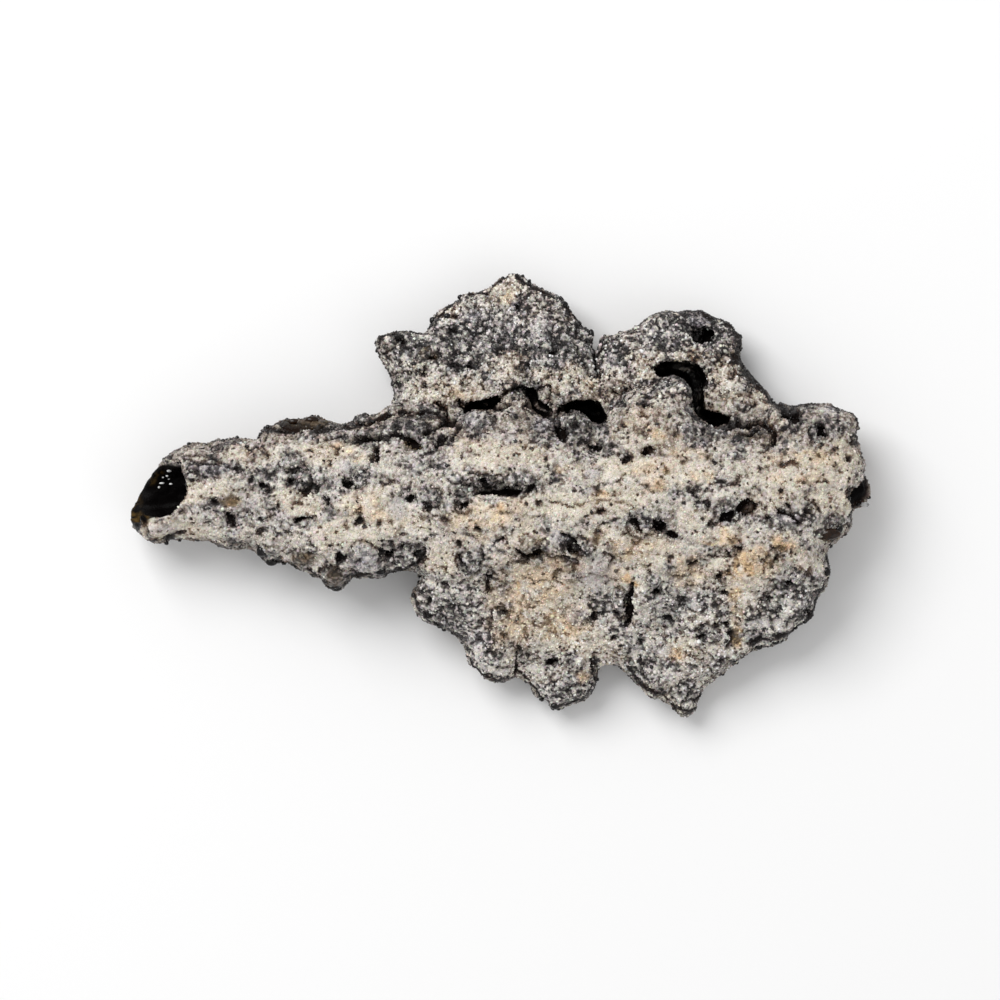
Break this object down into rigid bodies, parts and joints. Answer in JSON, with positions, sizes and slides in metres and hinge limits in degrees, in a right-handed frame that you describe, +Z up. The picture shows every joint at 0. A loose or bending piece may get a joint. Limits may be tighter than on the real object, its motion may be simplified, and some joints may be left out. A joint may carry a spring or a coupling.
{
  "type": "fulgurite",
  "caption": "Fulgurite: a flattened hollow tube of fused sand with a black glassy mouth, thin leaf-like wings on one side and broad lobes on the other.",
  "frame": {"origin": "middle of the bounding box's underside, on the surface the piece lies on", "axes": "+X along the tube, away from its open black mouth; +Y across, towards the thin wings; +Z up, the shortest way through the piece"},
  "size_m": [0.0892, 0.0536, 0.0171],
  "materials": {
    "fused_sand": "rough, granular, salt-and-pepper sand crust with black glass in its openings"
  },
  "bodies": {
    "root": {"fulgurite": "fused_sand"}
  },
  "joints": []
}
